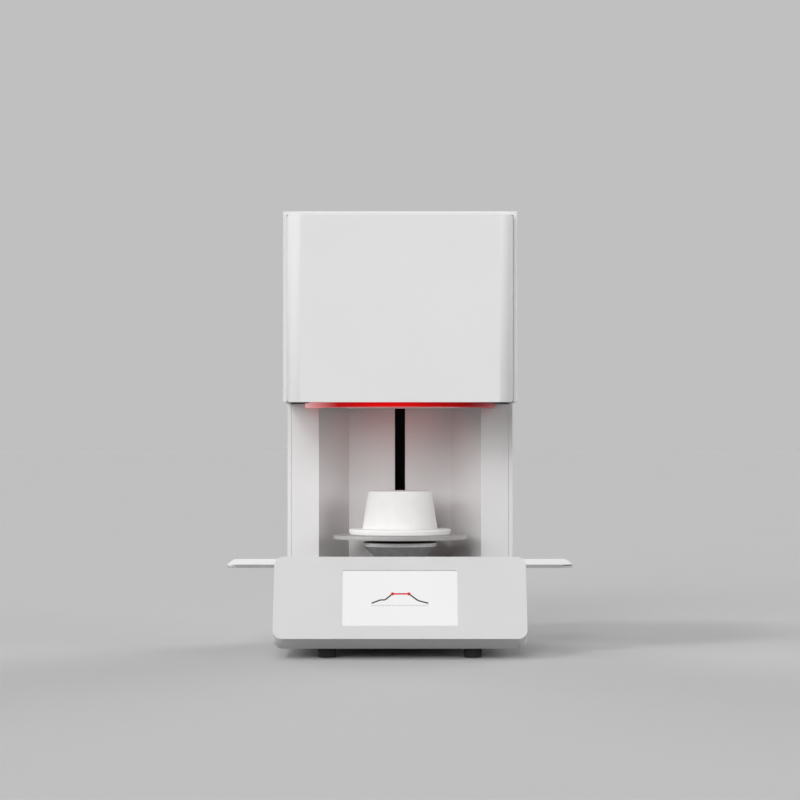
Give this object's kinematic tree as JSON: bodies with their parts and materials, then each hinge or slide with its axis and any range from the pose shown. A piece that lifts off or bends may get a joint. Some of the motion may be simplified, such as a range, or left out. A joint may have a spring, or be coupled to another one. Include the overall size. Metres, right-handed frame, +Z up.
{
  "type": "dental lab furnace",
  "caption": "Bench-top dental sintering furnace: a motor-driven lift raises an insulating plug into the mouth of the heated housing above.",
  "frame": {"origin": "on the table under the lift axis, level with the undersides of the feet", "axes": "+Z up along the lift axis, +X to the right seen from the front, +Y to the rear"},
  "size_m": [0.474, 0.39, 0.6016],
  "materials": {
    "white_coat": "satin white powder coat",
    "console_white": "satin white moulding",
    "screen_glass": "lit touch glass",
    "display_black": "matt",
    "zinc_sheet": "zinc plated sheet",
    "stainless": "brushed stainless",
    "plate_steel": "turned stainless",
    "ground_steel": "ground",
    "screw_steel": "plated",
    "rubber_black": "matt",
    "ring_red": "lit red diffuser",
    "board_green": "solder resist",
    "fibre_white": "pressed ceramic fibre",
    "plug_white": "smooth cast ceramic fibre",
    "element_dark": "glazed grey",
    "sheath_ceramic": "smooth",
    "bare_aluminium": "milled",
    "black_anodised": "dark anodised",
    "black_coat": "matt black",
    "bronze": "turned",
    "copper": "enamelled copper",
    "black_plastic": "fine grain"
  },
  "bodies": {
    "furnace": {"base_pan": "zinc_sheet", "base_shell": "white_coat", "front_fascia": "console_white", "touch_screen": "screen_glass", "display_module": "display_black", "display_bracket": "zinc_sheet", "rubber_feet": "rubber_black", "foot_screws": "screw_steel", "left_shelf": "stainless", "right_shelf": "stainless", "shelf_screws": "screw_steel", "outer_wrap": "white_coat", "front_cover": "white_coat", "alcove_liner": "white_coat", "rear_cover": "white_coat", "rear_screws": "screw_steel", "housing_floor": "zinc_sheet", "status_light_ring": "ring_red", "led_board": "board_green", "mouth_collar": "stainless", "throat_insulation": "fibre_white", "side_insulation": "fibre_white", "roof_insulation": "fibre_white", "chamber_casing": "stainless", "casing_lid": "stainless", "heating_elements": "element_dark", "element_holders": "fibre_white", "element_clamps": "bare_aluminium", "element_links": "copper", "thermocouple": "sheath_ceramic", "lift_motor": "black_coat", "motor_bracket": "zinc_sheet", "lift_frame": "black_coat", "end_blocks": "bare_aluminium", "screw_bearings": "ground_steel", "guide_rods": "ground_steel", "screw_guard": "black_coat", "limit_switches": "black_plastic", "transformer": "copper", "power_controller": "black_plastic", "heat_sink": "bare_aluminium", "main_board": "board_green", "fan_frame": "black_plastic", "fan_guard": "stainless", "power_inlet": "black_plastic", "switch_housing": "black_plastic"},
    "lift": {"insulating_plug": "plug_white", "plug_flange": "plug_white", "carrier_plate": "plate_steel", "spacer_ring": "rubber_black", "lift_head": "black_anodised", "lift_arm": "bare_aluminium", "lift_carriage": "black_anodised", "carriage_bushes": "bronze", "screw_nut": "bronze"},
    "drive_shaft": {"lead_screw": "ground_steel", "shaft_coupling": "bare_aluminium", "motor_shaft": "ground_steel"},
    "fan": {"fan_rotor": "black_plastic"},
    "rocker": {"switch_rocker": "black_plastic"}
  },
  "joints": [
    {"name": "lift_travel", "type": "slide", "parent": "furnace", "child": "lift", "axis": [0, 0, 1], "range_m": [0, 0.1685]},
    {"name": "screw_turn", "type": "hinge", "parent": "furnace", "child": "drive_shaft", "pos_m": [0, 0.142, 0.2], "axis": [0, 0, 1], "range_deg": [-6066.5, 0]},
    {"name": "fan_spin", "type": "hinge", "parent": "furnace", "child": "fan", "pos_m": [0.111, 0.177, 0.0658], "axis": [0, 1, 0], "continuous": true},
    {"name": "switch_tilt", "type": "hinge", "parent": "furnace", "child": "rocker", "pos_m": [-0.09, 0.186, 0.0618], "axis": [1, 0, 0], "range_deg": [0, 24]}
  ],
  "couplings": [
    {"joint": "screw_turn", "follows": "lift_travel", "rad_per_m": -628.32}
  ]
}
